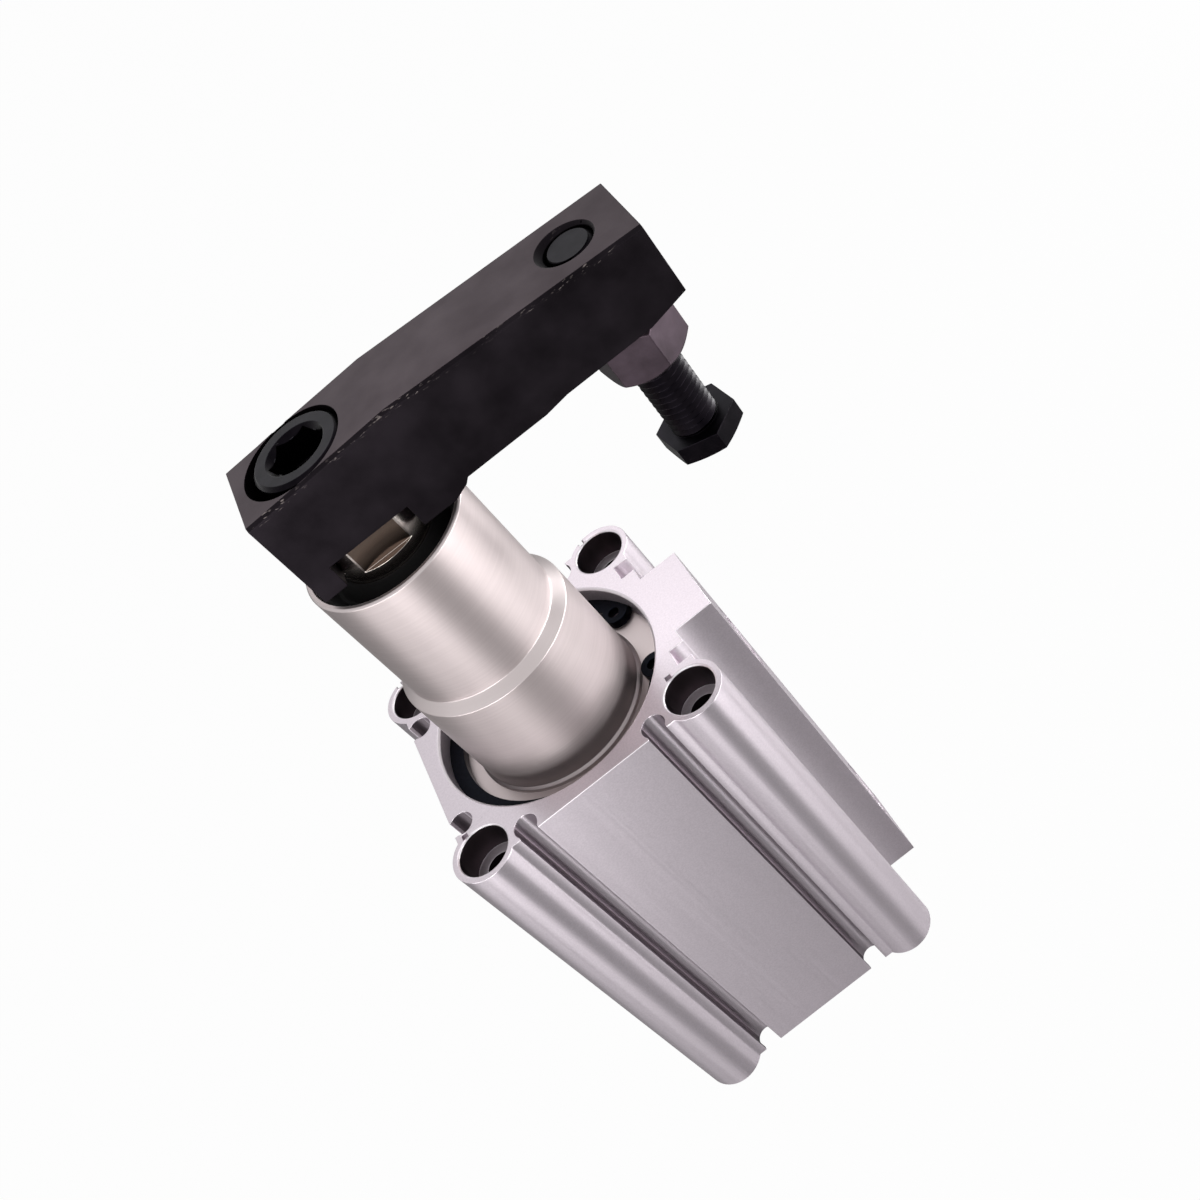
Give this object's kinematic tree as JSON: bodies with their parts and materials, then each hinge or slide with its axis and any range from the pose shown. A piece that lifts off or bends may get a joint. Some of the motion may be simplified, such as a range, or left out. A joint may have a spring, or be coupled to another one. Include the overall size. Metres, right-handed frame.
{
  "type": "pneumatic swing clamp cylinder",
  "caption": "Compact pneumatic cylinder whose long-nosed rod rises and swings a clamp arm aside, with an adjustable clamp bolt and sensor grooves.",
  "frame": {"origin": "on the rod axis, in the plane of the body's bottom mounting face", "axes": "+Z along the rod towards the clamp arm, +X towards the port boss and the arm's tip at rest"},
  "size_m": [0.101, 0.064, 0.1828],
  "materials": {
    "anodised_body": "satin clear anodised extrusion",
    "anodised_cover": "turned, satin clear anodised",
    "machined_aluminium": "turned",
    "rubber_seal": "matt moulded",
    "spring_steel": "phosphated black",
    "bronze_bush": "sintered bronze",
    "hardened_pin": "ground",
    "magnet_ring": "plastic-bonded ferrite",
    "wear_ring": "plain acetal",
    "chromed_rod": "ground and hard chromed",
    "zinc_steel": "zinc plated",
    "black_oxide_arm": "milled, black oxide",
    "black_oxide_screw": "black oxide",
    "black_oxide_nut": "thin black oxide"
  },
  "bodies": {
    "cylinder": {"cylinder_body": "anodised_body", "front_cover": "anodised_cover", "front_cover_o_ring": "rubber_seal", "front_circlip": "spring_steel", "rod_bush": "bronze_bush", "rod_seal": "rubber_seal", "rod_wiper": "rubber_seal", "guide_pin": "hardened_pin", "front_bumper": "rubber_seal", "end_cover": "anodised_cover", "end_cover_o_ring": "rubber_seal", "rear_bumper": "rubber_seal", "rear_circlip": "spring_steel"},
    "piston": {"piston": "machined_aluminium", "piston_seal": "rubber_seal", "piston_magnet": "magnet_ring", "piston_wear_ring": "wear_ring"},
    "rod_and_arm": {"piston_rod": "chromed_rod", "piston_nut": "zinc_steel", "clamp_arm": "black_oxide_arm", "arm_cap_screw": "black_oxide_screw", "jam_nut": "black_oxide_nut"},
    "clamp_bolt": {"clamp_bolt": "black_oxide_screw"}
  },
  "joints": [
    {"name": "rod_stroke", "type": "slide", "parent": "cylinder", "child": "piston", "axis": [0, 0, 1], "range_m": [0, 0.039]},
    {"name": "arm_swing", "type": "hinge", "parent": "piston", "child": "rod_and_arm", "pos_m": [0, 0, 0], "axis": [0, 0, 1], "range_deg": [0, 90]},
    {"name": "clamp_bolt_reach", "type": "slide", "parent": "rod_and_arm", "child": "clamp_bolt", "axis": [0, 0, 1], "range_m": [-0.01, 0.017]}
  ],
  "couplings": [
    {"joint": "arm_swing", "follows": "rod_stroke", "rad_per_m": 40.277}
  ]
}
